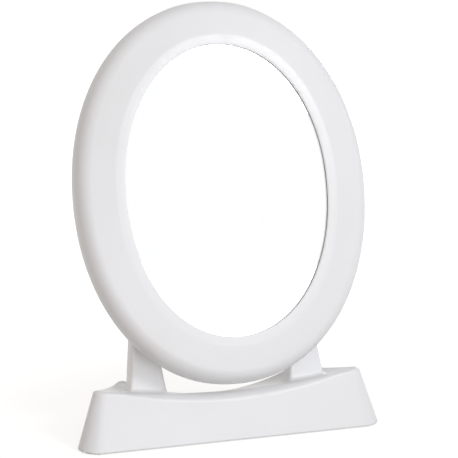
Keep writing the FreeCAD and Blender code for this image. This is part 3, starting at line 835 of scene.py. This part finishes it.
@dataclass
class MirrorHead:
    """The tilting head: bezel, gasket, mirror, board and rear cover."""

    width: float = 259.6
    height: float = 329.2
    fullness: float = 0.962
    band: float = 40.4
    crest_inset: float = 32.2
    face_steps: tuple[float, ...] = (12.0, 6.0, 2.5, 1.2)
    crease: float = 0.4
    face_fullness: float = 0.84
    side_depth: float = 24.0
    bezel_depth: float = 30.0
    shoulder_width: float = 16.0
    shoulder_depth: float = 2.8
    shoulder_end: float = 262.0
    lip_round: float = 0.8
    lip_depth: float = 2.8
    pocket_ledge: float = 6.0
    wall: float = 3.0
    rib_depth: float = 18.0
    lean: float = 15.0
    pivot: Point = (24.5, 97.5)
    pivot_below: float = 107.0
    pivot_behind: float = 54.0
    rear_draft: float = 1.6
    boss_oval: Point = (115.0, 149.5)
    cover_step: float = 2.4
    cover_side: float = 1.5
    cover_wall: float = 2.5
    cover_round: Point = (9.0, 3.5)
    cover_face: float = 35.0
    cover_runs: tuple[float, ...] = (48.0, 72.0, 100.0)
    cover_screw_count: int = 6
    press_rib: float = 2.5
    board_back: float = 10.8
    soft_edge: float = 0.3
    screw_hole: float = 2.0
    drill_sides: int = 32
    gasket_depth: float = 1.0
    gasket_setback: float = 0.15
    gasket_soft: float = 0.15
    fit_gap: float = 0.3
    bracket_plate: float = 2.5
    bracket_x: float = 72.0
    bracket_step: float = 19.0
    turns: int = 288

    @property
    def tilt(self) -> Matrix:
        """The turn from the upright head to the leaned one.

        Returns:
            The rotation.
        """
        return Matrix.Rotation(math.radians(-self.lean), 3, "X")

    @property
    def middle(self) -> Vector:
        """The oval's middle at the crest.

        Returns:
            Its place in the frame, in millimetres.
        """
        return Vector((0.0, *self.pivot)) - self.tilt @ Vector((0.0, self.pivot_behind, -self.pivot_below))

    def in_frame(self, across: float, depth: float, up: float) -> Vector:
        """Takes a point of the upright head to its leaned place.

        Args:
            across: Millimetres across.
            depth: Millimetres behind the crest.
            up: Millimetres over the oval's middle.

        Returns:
            The point in metres.
        """
        return (self.middle + self.tilt @ Vector((across, depth, up))) * MM

    def cover_spots(self) -> list[Point]:
        """Finds the places of the cover's screws.

        Returns:
            Millimetres across and up from the oval's middle.
        """
        count = self.cover_screw_count
        turns = [math.pi / 2 + 2 * math.pi * k / count for k in range(count)]
        return [(self.boss_oval[0] * math.cos(t), self.boss_oval[1] * math.sin(t)) for t in turns]

    def bracket_spots(self, side: Side) -> list[Point]:
        """Finds the places of a bracket's screws.

        Args:
            side: Which bracket.

        Returns:
            Millimetres across and up from the oval's middle, for the upper and the lower screw.
        """
        return [(side.value * self.bracket_x, step - self.pivot_below)
                for step in (self.bracket_step / 2, -self.bracket_step / 2)]

    def wrapped(self, name: str, profile: Sequence[Point], finish: Finish, gap: int | None = None) -> Object:
        """Wraps a closed profile round the head's oval.

        Args:
            name: The piece's name.
            profile: Inset and depth pairs of a closed loop.
            finish: Its finish.
            gap: The run that is left open, where a dish's two faces reach its middle.

        Returns:
            The piece.
        """
        points = [(inset * MM, depth * MM, 2.0 * math.pi * k / self.turns)
                  for k in range(self.turns + 1) for inset, depth in profile]
        count = len(profile)
        faces = [(row + i, row + (i + 1) % count, row + count + (i + 1) % count, row + count + i)
                 for row in range(0, self.turns * count, count) for i in range(count) if i != gap]
        values = {
            "Half Width": self.width / 2 * MM,
            "Half Height": self.height / 2 * MM,
            "Fullness": self.fullness,
            "Lean": math.radians(-self.lean),
            "Middle": tuple(self.middle * MM),
        }
        return OVAL_WRAP.apply(name, new_mesh(name + "_strip", points, faces), finish, values)

    def bezel_profile(self) -> list[Point]:
        """The bezel's closed section, from its rear rim over the crest to the pocket and back.

        Returns:
            Inset and depth pairs.
        """
        centre = (self.shoulder_width, self.side_depth)
        radii = (self.shoulder_width, self.side_depth - self.shoulder_depth)
        shoulder = arc(centre, radii, 180, self.shoulder_end, 30, self.face_fullness)
        slope = shoulder[-1][1] / (self.crest_inset - shoulder[-1][0])
        face = [(self.crest_inset - back, back * slope) for back in self.face_steps]
        crest = [(self.crest_inset + share * self.crease, back * slope)
                 for share, back in ((-1, 0.5), (1, 0.15), (3, 0.0), (10, 0.0))]
        lip = arc((self.band - self.lip_round, self.lip_round), (self.lip_round, self.lip_round), 270, 360, 6)
        soft, rear, draft = self.soft_edge, self.bezel_depth, self.rear_draft
        pocket, behind = self.band - self.pocket_ledge, self.lip_depth
        side = [(draft + 0.4, rear), (draft, rear - 0.4), (draft * 0.55, rear - 2.0),
                (draft * 0.2, rear - 4.0)]
        ledge = [(self.band, behind - soft), (self.band - soft, behind), (pocket, behind),
                 (pocket, self.rib_depth), (pocket - self.wall, self.rib_depth)]
        hollow = arc(centre, (radii[0] - self.wall, radii[1] - self.wall), self.shoulder_end, 180, 16,
                     self.face_fullness)
        return [*side, *shoulder, *face, *crest, *lip, *ledge, (pocket - self.wall, self.wall + 0.2), *hollow,
                (draft + self.wall, rear)]

    def gasket_profile(self) -> list[Point]:
        """The foam gasket's section, its free inner edge pressed out into a soft bulge.

        Returns:
            Inset and depth pairs.
        """
        outer = self.band - self.pocket_ledge + self.fit_gap
        half, soft = self.gasket_depth / 2, self.gasket_soft
        bulge = arc((self.band - self.gasket_setback - half, self.lip_depth + half), (half, half), -90, 90, 8)
        rear = self.lip_depth + self.gasket_depth
        return [(outer + soft, rear), (outer, rear - soft), (outer, self.lip_depth + soft),
                (outer + soft, self.lip_depth), *bulge]

    def cover(self) -> Object:
        """Makes the rear cover: a rounded tray with a press rib inside and a hole for every screw.

        Returns:
            The cover.
        """
        middle, roof, soft = self.width / 2, self.cover_face - self.cover_wall, self.soft_edge
        wide, deep = self.cover_round
        outside = arc((self.cover_step + wide, self.bezel_depth + self.cover_side), (wide, deep), 180, 90, 14)
        inner = self.cover_step + self.cover_wall
        inside_start = self.bezel_depth + self.cover_side / 2
        inside = arc((inner + wide, inside_start), (wide, roof - inside_start), 90, 180, 14)
        rib = self.band - self.pocket_ledge + self.cover_wall
        rib_end = rib + self.press_rib
        face = [(inset, self.cover_face) for inset in (24.0, *self.cover_runs, middle)]
        back = [(inset, roof) for inset in (middle, *reversed(self.cover_runs))]
        web = [(rib_end, roof), (rib_end, self.board_back + soft), (rib_end - soft, self.board_back),
               (rib + soft, self.board_back), (rib, self.board_back + soft), (rib, roof)]
        profile = [(self.cover_step, self.bezel_depth), *outside, *face, *back, *web, *inside,
                   (inner, self.bezel_depth)]
        tray = self.wrapped("rear_cover_tray", profile, COVER_PLASTIC, gap=len(outside) + len(face))
        holes = self.cover_spots() + [spot for side in Side for spot in self.bracket_spots(side)]
        drills = self.drills(holes)
        cut_with(tray, drills)
        drilled = applied(tray, "rear_cover_tray", COVER_PLASTIC)
        bpy.data.objects.remove(drills)
        return drilled

    def drills(self, spots: Sequence[Point]) -> Object:
        """Makes one round drill for each screw hole of the cover.

        Args:
            spots: Places across and up from the oval's middle.

        Returns:
            The drills as one object.
        """
        count = self.drill_sides
        turns = [2 * math.pi * k / count for k in range(count)]
        points, faces = [], []
        for x, z in spots:
            low = len(points)
            high = low + count
            for depth in (self.cover_face - self.cover_wall - 1.0, self.cover_face + 1.0):
                points += [tuple(self.in_frame(x + self.screw_hole * math.cos(t), depth,
                                               z + self.screw_hole * math.sin(t))) for t in turns]
            faces += [(low + k, low + (k + 1) % count, high + (k + 1) % count, high + k)
                      for k in range(count)]
            faces += [tuple(range(high - 1, low - 1, -1)), tuple(range(high, high + count))]
        mesh = new_mesh("cover_drills", points, faces)
        close_mesh(mesh)
        return new_object("cover_drills", mesh)

    def screws(self) -> list[Object]:
        """Makes the screws of the cover and of the two brackets.

        Returns:
            The rows.
        """
        rearward = self.tilt @ Vector((0.0, 1.0, 0.0))
        seats = [self.in_frame(x, self.cover_face, z) for x, z in self.cover_spots()]
        rows = [screw_row("cover_screw_row", COVER_SCREW, seats, rearward, Body.HEAD, "zinc_steel",
                          "cover_screws")]
        seat_depth = self.cover_face + self.bracket_plate
        for side in Side:
            seats = [self.in_frame(x, seat_depth, z) for x, z in self.bracket_spots(side)]
            rows.append(screw_row(f"bracket_screw_row_{side.word}", BRACKET_SCREW, seats, rearward, Body.HEAD,
                                  "zinc_steel", f"bracket_screws_{side.word}"))
        return rows

    def build(self) -> list[Object]:
        """Makes the head's own pieces.

        Returns:
            The pieces.
        """
        bezel = self.wrapped("bezel_ring", self.bezel_profile(), WHITE_PLASTIC)
        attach(bezel, Body.HEAD.value)
        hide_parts("front_bezel")
        gasket = self.wrapped("gasket_ring", self.gasket_profile(), GASKET_FOAM)
        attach(gasket, Body.HEAD.value)
        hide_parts("glass_gasket")
        cover = self.cover()
        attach(cover, Body.HEAD.value)
        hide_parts("rear_cover")
        return [bezel, gasket, cover, *self.screws()]


# ---------------------------------------------------------------- the base


def round_join(first: Field, second: Field, radius: float) -> Field:
    """Joins two distance fields with a rounded inner corner.

    Args:
        first: A distance field, negative inside.
        second: Another.
        radius: The corner's radius.

    Returns:
        The joined field.
    """
    u = np.maximum(radius - first, 0.0)
    v = np.maximum(radius - second, 0.0)
    return np.maximum(radius, np.minimum(first, second)) - np.sqrt(u * u + v * v)


def round_common(first: Field, second: Field, radius: float | Field) -> Field:
    """Keeps what two distance fields share, with a rounded outer edge.

    Args:
        first: A distance field, negative inside.
        second: Another.
        radius: The edge's radius, one number or a field.

    Returns:
        The shared field.
    """
    u = np.maximum(radius + first, 0.0)
    v = np.maximum(radius + second, 0.0)
    return np.minimum(-radius, np.maximum(first, second)) + np.sqrt(u * u + v * v)


def ease(value: Field, low: float, high: float) -> Field:
    """A smooth step from 0 at low to 1 at high.

    Args:
        value: The values.
        low: Where it is 0.
        high: Where it is 1.

    Returns:
        The eased share.
    """
    share = np.clip((value - low) / (high - low), 0.0, 1.0)
    return share * share * (3.0 - 2.0 * share)


@dataclass
class MouldedBase:
    """The weighted base and its two posts, one hollow moulding with soft edges."""

    front_y: float = -25.0
    rear_y: float = 56.0
    end_angle: float = 53.5
    end_distance: float = 108.6
    front_slope: float = 17.0
    end_slope: float = 12.4
    rear_slope: float = 2.0
    front_corner: float = 18.0
    rear_corner: float = 20.0
    corner_shrink: float = 0.18
    scoop_front: Triple = (0.0, 38.3, 650.0)
    scoop_rear: Triple = (54.0, 20.5, 175.0)
    rim: float = 0.8
    wall: float = 3.0
    shoulder: float = 10.5
    shoulder_end: float = 98.0
    other_edge: float = 2.6
    post_x: float = 72.0
    post_foot: Point = (-1.0, 16.5)
    post_widths: Point = (33.0, 20.0)
    post_edge: float = 2.4
    tip_radius: float = 8.0
    foot_fillet: float = 4.5
    pivot: Point = (24.5, 97.5)
    bore: float = 4.55
    pitch: float = 1.25
    pad_sides: int = 480
    pad_inset: float = 4.5
    pad_depth: float = 1.5
    pad_soft: float = 0.4
    pad_middle_y: float = 15.0
    pad_halvings: int = 48
    grid_low: Triple = (-138.0, -29.0, -3.0)
    grid_high: Triple = (138.0, 60.0, 110.0)
    plate_screws: tuple[Point, ...] = ((-110.0, -8.0), (0.0, -8.0), (110.0, -8.0), (-60.0, 46.0),
                                       (60.0, 46.0))
    ballast_screws: tuple[Point, ...] = ((-70.0, 12.0), (-32.0, 12.0), (32.0, 12.0), (70.0, 12.0))

    def scoop(self, y: Field) -> tuple[Field, Field]:
        """The scoop's circle at a distance from the front.

        Args:
            y: Positions from front to rear.

        Returns:
            Its centre height and its radius.
        """
        share = (y - self.scoop_front[0]) / (self.scoop_rear[0] - self.scoop_front[0])
        low = self.scoop_front[1] + share * (self.scoop_rear[1] - self.scoop_front[1])
        radius = self.scoop_front[2] + share * (self.scoop_rear[2] - self.scoop_front[2])
        return low + radius, radius

    def plan(self, at: Spot, inset: float) -> Field:
        """Distance to the walls, measured level.

        Args:
            at: Where, on the right half.
            inset: How far the walls are drawn in.

        Returns:
            The distance, negative inside.
        """
        x, y, z = at
        slant = math.radians(self.end_angle)
        front = self.front_y + z * math.tan(math.radians(self.front_slope)) + inset
        rear = self.rear_y - z * math.tan(math.radians(self.rear_slope)) - inset
        distance = self.end_distance - z * math.tan(math.radians(self.end_slope)) - inset
        d_front = front - y
        d_rear = y - rear
        d_end = x * math.sin(slant) + y * math.cos(slant) - distance
        result = np.maximum(np.maximum(d_front, d_rear), d_end)
        for wall_y, away, base_radius in ((front, -1.0, self.front_corner), (rear, 1.0, self.rear_corner)):
            radius = np.maximum(base_radius - self.corner_shrink * z - inset, 0.5)
            centre_y = wall_y - away * radius
            centre_x = (distance - radius - centre_y * math.cos(slant)) / math.sin(slant)
            dx = x - centre_x
            dy = y - centre_y
            along_end = away * (-dx * math.cos(slant) + dy * math.sin(slant))
            in_corner = (dx > 0.0) & (along_end > 0.0)
            result = np.where(in_corner, np.hypot(dx, dy) - radius, result)
        return result

    def block(self, at: Spot, inset: float, edge: Field) -> Field:
        """Distance to the scooped block.

        Args:
            at: Where, on the right half.
            inset: How far every face is drawn in.
            edge: Radius of its top edges.

        Returns:
            The distance field.
        """
        walls = self.plan(at, inset) * math.cos(math.radians(self.end_slope))
        centre, radius = self.scoop(at[1])
        top = radius + inset - np.hypot(at[0], at[2] - centre)
        return round_common(walls, top, edge)

    def post(self, at: Spot) -> Field:
        """Distance to a post.

        Args:
            at: Where, on the right half.

        Returns:
            The distance field.
        """
        x, y, z = at
        foot_y = np.array([sum(self.post_foot) / 2])
        centre, radius = self.scoop(foot_y)
        foot_z = float(centre[0] - math.sqrt(radius[0] ** 2 - self.post_x ** 2))
        tip_y, tip_z = self.pivot
        side = None
        in_tip = np.ones(np.broadcast(x, y, z).shape, bool)
        for foot, turn in ((self.post_foot[0], -1.0), (self.post_foot[1], 1.0)):
            dy, dz = foot - tip_y, foot_z - tip_z
            angle = math.atan2(dz, dy) + turn * math.acos(self.tip_radius / math.hypot(dy, dz))
            normal = (math.cos(angle), math.sin(angle))
            distance = (y - tip_y) * normal[0] + (z - tip_z) * normal[1] - self.tip_radius
            along = (-normal[1], normal[0]) if normal[0] > 0 else (normal[1], -normal[0])
            in_tip &= ((y - tip_y) * along[0] + (z - tip_z) * along[1]) > 0.0
            side = distance if side is None else np.maximum(side, distance)
        side = np.where(in_tip, np.hypot(y - tip_y, z - tip_z) - self.tip_radius, side)
        foot_half, tip_half = (width / 2 for width in self.post_widths)
        end = tip_z - self.tip_radius
        slope = (foot_half - tip_half) / (end - foot_z)
        half = tip_half + slope * np.maximum(end - z, 0.0)
        flank = (np.abs(x - self.post_x) - half) / math.hypot(1.0, slope)
        return round_common(side, flank, self.post_edge)

    def shell(self, at: Spot) -> Field:
        """Distance to the whole moulding.

        Args:
            at: Where.

        Returns:
            The distance field, negative in the plastic.
        """
        _, y, z = at
        across = np.abs(at[0])
        half = (across, y, z)
        fall = (self.shoulder - self.other_edge) * (across / self.shoulder_end) ** 2
        shoulder = np.maximum(self.shoulder - fall, self.other_edge)
        edge = shoulder + (self.other_edge - shoulder) * ease(y, 2.0, 22.0)
        outer = round_join(self.block(half, 0.0, edge), self.post(half), self.foot_fillet)
        outer = round_common(outer, self.rim - z, 0.7)
        hollow = self.block(half, self.wall, np.maximum(edge - self.wall, 1.5))
        shell = np.maximum(outer, -hollow)
        bore = np.hypot(y - self.pivot[0], z - self.pivot[1]) - self.bore
        return np.maximum(shell, -bore)

    def mesh(self, name: str) -> Mesh:
        """Meshes the moulding.

        Args:
            name: The mesh's name.

        Returns:
            The closed mesh.
        """
        low, high = np.array(self.grid_low), np.array(self.grid_high)
        counts = np.ceil((high - low) / self.pitch).astype(int) + 1
        axes = [low[k] + self.pitch * np.arange(counts[k]) for k in range(3)]
        reach = 3 * self.pitch
        field_values = np.clip(self.shell(np.meshgrid(*axes, indexing="ij", sparse=True)), -reach, reach)
        grid = openvdb.FloatGrid(float(reach))
        grid.copyFromArray(field_values.astype(np.float32))
        points, triangles, quads = grid.convertToPolygons(isovalue=0.0, adaptivity=0.0)
        points = self.settle(low + self.pitch * points.astype(float))
        faces = [tuple(face) for face in triangles.tolist() + quads.tolist()]
        return new_mesh(name, (points * MM).tolist(), faces)

    def settle(self, points: Field, rounds: int = 3, step: float = 0.05, most: float = 0.6,
               least_slope: float = 0.3) -> Field:
        """Moves points onto the exact surface along the field's slope.

        Args:
            points: The points.
            rounds: Number of moves.
            step: Distance for the slope's differences.
            most: The longest move.
            least_slope: The slope that a flatter one is taken for.

        Returns:
            The moved points.
        """
        for _ in range(rounds):
            here = self.shell(points.T)
            slope = np.stack([(self.shell((points + offset).T) - self.shell((points - offset).T)) / (2 * step)
                              for offset in np.eye(3) * step], axis=1)
            length = np.maximum(np.linalg.norm(slope, axis=1, keepdims=True), least_slope)
            points = points - np.clip(here, -most, most)[:, None] * slope / length ** 2
        return points

    def pad(self) -> Object:
        """Makes the foam pad under the base, its outline taken from the walls and its rim soft.

        Returns:
            The pad.
        """
        turns = 2.0 * math.pi * np.arange(self.pad_sides) / self.pad_sides
        way = np.stack([np.cos(turns), np.sin(turns)], axis=1)
        middle = np.array([0.0, self.pad_middle_y])
        floor = np.zeros(self.pad_sides)
        near, far = floor, np.full(self.pad_sides, 2 * self.end_distance)
        for _ in range(self.pad_halvings):
            reach = (near + far) / 2
            spot = middle + way * reach[:, None]
            inside = self.plan((np.abs(spot[:, 0]), spot[:, 1], floor), self.pad_inset) < 0.0
            near, far = np.where(inside, reach, near), np.where(inside, far, reach)
        soft, bevel, depth = self.pad_soft, self.pad_soft * 0.3, self.pad_depth
        lower = [(soft, 0.0), (bevel, bevel), (0.0, soft)]
        rim = [*lower, *((inset, depth - z) for inset, z in reversed(lower))]
        rings = [[(*((middle + w * (r - inset)) * MM), z * MM) for w, r in zip(way, near)]
                 for inset, z in rim]
        mesh = ring_mesh("foam_pad", rings, [(0.0, self.pad_middle_y * MM, z * MM) for z in (0.0, depth)])
        mesh.materials.append(DARK_RUBBER.material())
        close_mesh(mesh)
        made = new_object("foam_pad", mesh)
        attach(made, Body.BASE.value)
        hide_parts("base_pad")
        return made

    def build(self) -> list[Object]:
        """Makes the base's own pieces.

        Returns:
            The pieces.
        """
        mesh = self.mesh("base_moulding")
        mesh.materials.append(WHITE_PLASTIC.material())
        close_mesh(mesh)
        mesh.shade_smooth()
        shell = new_object("base_moulding", mesh)
        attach(shell, Body.BASE.value)
        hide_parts("base_shell")
        return [shell, self.pad(), *self.screws()]

    def screws(self) -> list[Object]:
        """Makes the screws that hold the base plate and the ballast.

        Returns:
            The rows.
        """
        down = Vector((0.0, 0.0, -1.0))
        rows = []
        for name, node, spots in (("plate_screw_row", "base_plate_screws", self.plate_screws),
                                  ("ballast_screw_row", "ballast_screws", self.ballast_screws)):
            seats = [(x * MM, y * MM, self.pad_depth * MM) for x, y in spots]
            rows.append(screw_row(name, FLUSH_SCREW, seats, down, Body.BASE, "zinc_steel", node))
        return rows


# ---------------------------------------------------------------- studio


@dataclass(frozen=True)
class Lamp:
    """A square lamp. Its level is the brightness of a white card that faces it, where 1 is full white."""

    name: str
    at: Triple
    size: float
    level: float
    colour: Triple

    def build(self, aim: Vector) -> None:
        """Makes the lamp.

        Args:
            aim: The point that it faces.
        """
        way = aim - Vector(self.at)
        data = bpy.data.lights.new(self.name, "AREA")
        data.size = self.size
        data.energy = self.level * math.pi * math.pi * way.length_squared
        data.color = self.colour
        place(self.name, data, self.at, way)


def place(name: str, data: ID, at: Triple, way: Vector) -> Object:
    """Puts a lamp or a camera in the scene.

    Args:
        name: The object's name.
        data: The lamp or the camera.
        at: Its place.
        way: The way that it faces.

    Returns:
        The object.
    """
    made = new_object(name, data)
    made.location = at
    made.rotation_euler = way.to_track_quat("-Z", "Y").to_euler()
    return made


@dataclass
class Studio:
    """The camera, the lamps, the surroundings and the floor."""

    camera_at: Triple = (-0.406, -1.249, 0.443)
    camera_way: Triple = (0.3030, 0.9326, -0.1959)
    lens: float = 124.1
    sensor: float = 36.0
    far_clip: float = 50.0
    lamp_aim: Triple = (0.0, 0.0, 0.15)
    ambient_left: Triple = (0.98, 0.905, 0.85)
    ambient_right: Triple = (0.97, 1.0, 1.03)
    ambient_front: float = 0.71
    ambient_rear: float = 0.46
    ambient_top: float = 0.8
    floor_reach: float = 6.0
    floor_colour: Triple = (0.48, 0.46, 0.44)
    glow: tuple[float, float, float, float] = (0.16, 0.55, 0.72, 1.0)
    lamps: tuple[Lamp, ...] = (
        Lamp("front_lamp", (0.35, -1.8, 0.3), 0.8, 0.15, (0.965, 0.99, 1.05)),
        Lamp("highlight_lamp", (0.6, -1.3, 1.0), 0.35, 0.22, (0.97, 0.99, 1.04)),
        Lamp("right_lamp", (1.9, -0.7, 0.7), 1.0, 0.05, (0.97, 0.99, 1.04)),
        Lamp("fill_lamp", (-0.6, -1.6, 0.25), 0.9, 0.17, (0.98, 0.99, 1.02)),
        Lamp("rear_lamp", (1.4, 1.8, 0.6), 0.8, 0.14, (1.0, 0.99, 0.98)),
    )

    def camera(self) -> None:
        """Makes the scene's camera."""
        data = bpy.data.cameras.new("studio_camera")
        data.lens = self.lens
        data.sensor_width = self.sensor
        data.clip_end = self.far_clip
        bpy.context.scene.camera = place("studio_camera", data, self.camera_at, Vector(self.camera_way))

    def seen_share(self, sketch: NodeSketch) -> NodeSocket:
        """Finds whether a ray is seen straight, in a reflection or through glass.

        Args:
            sketch: The tree.

        Returns:
            1 for such a ray and else 0.
        """
        path = sketch.add("ShaderNodeLightPath").outputs
        seen = sketch.math("MAXIMUM", path["Is Camera Ray"], path["Is Glossy Ray"])
        return sketch.math("MAXIMUM", seen, path["Is Transmission Ray"])

    def surroundings(self) -> None:
        """Sets the world: plain white where it is seen, soft and warm where it lights."""
        world = bpy.data.worlds.new("studio_world")
        world.use_nodes = True
        sketch = NodeSketch(world.node_tree)
        generated = sketch.add("ShaderNodeTexCoord").outputs["Generated"]
        way = sketch.add("ShaderNodeSeparateXYZ", {0: generated}).outputs
        side = sketch.spread(way["X"], -0.7, 0.5, 0.0, 1.0)
        depth = sketch.spread(way["Y"], -0.7, 0.7, self.ambient_front, self.ambient_rear)
        height = sketch.spread(way["Z"], 0.2, 1.0, 1.0, self.ambient_top)
        light = sketch.add("ShaderNodeBackground", {
            "Color": sketch.blend(side, (*self.ambient_left, 1.0), (*self.ambient_right, 1.0)),
            "Strength": sketch.math("MULTIPLY", depth, height),
        })
        shown = sketch.add("ShaderNodeBackground", {"Color": (1.0, 1.0, 1.0, 1.0)})
        inputs = {0: self.seen_share(sketch), 1: light.outputs[0], 2: shown.outputs[0]}
        sketch.add("ShaderNodeOutputWorld", {0: sketch.add("ShaderNodeMixShader", inputs).outputs[0]})
        bpy.context.scene.world = world

    def floor(self) -> None:
        """Makes the pale floor, which keeps the object's shadow."""
        reach = self.floor_reach
        square = [(-reach, -reach, 0), (reach, -reach, 0), (reach, reach, 0), (-reach, reach, 0)]
        made = new_object("studio_floor", new_mesh("studio_floor", square, [(0, 1, 2, 3)]))
        material = bpy.data.materials.new("studio_floor_pale")
        material.use_nodes = True
        sketch = NodeSketch(material.node_tree)
        where = sketch.add("ShaderNodeTexCoord").outputs["Object"]
        away = sketch.add("ShaderNodeVectorMath", {0: where}, operation="LENGTH").outputs["Value"]
        strength = sketch.math("MULTIPLY", self.seen_share(sketch), sketch.spread(away, *self.glow))
        glow = sketch.add("ShaderNodeEmission", {"Strength": strength}).outputs[0]
        matt = sketch.add("ShaderNodeBsdfDiffuse", {"Color": (*self.floor_colour, 1.0)}).outputs[0]
        both = sketch.add("ShaderNodeAddShader", {0: matt, 1: glow}).outputs[0]
        sketch.add("ShaderNodeOutputMaterial", {"Surface": both})
        made.data.materials.append(material)

    def build(self) -> None:
        """Makes the whole studio."""
        self.camera()
        for lamp in self.lamps:
            lamp.build(Vector(self.lamp_aim))
        self.surroundings()
        self.floor()
        bpy.context.scene.view_settings.view_transform = "Standard"


def clear_scene() -> None:
    """Removes what a new Blender file starts with."""
    for item in list(bpy.data.objects):
        bpy.data.objects.remove(item)


def finish_frame_nodes(frame: dict) -> None:
    """Gives every CAD node its finish.
    """
    for name, node in frame["nodes"].items():
        for index, old in enumerate(node.data.materials):
            if old is not None and old.name in SLOT_FINISH:
                node.data.materials[index] = SLOT_FINISH[old.name].material()
        LOG.info("frame node %s dressed", name)


def main() -> None:
    """Builds the scene in order."""
    logging.basicConfig(level=logging.INFO, format="%(name)s: %(message)s")
    clear_scene()
    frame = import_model()
    Studio().build()
    finish_frame_nodes(frame)
    for assembly in (MouldedBase(), MirrorHead()):
        for piece in assembly.build():
            LOG.info("%s: %d faces", piece.name, len(piece.data.polygons))


if __name__ == "__main__":
    main()
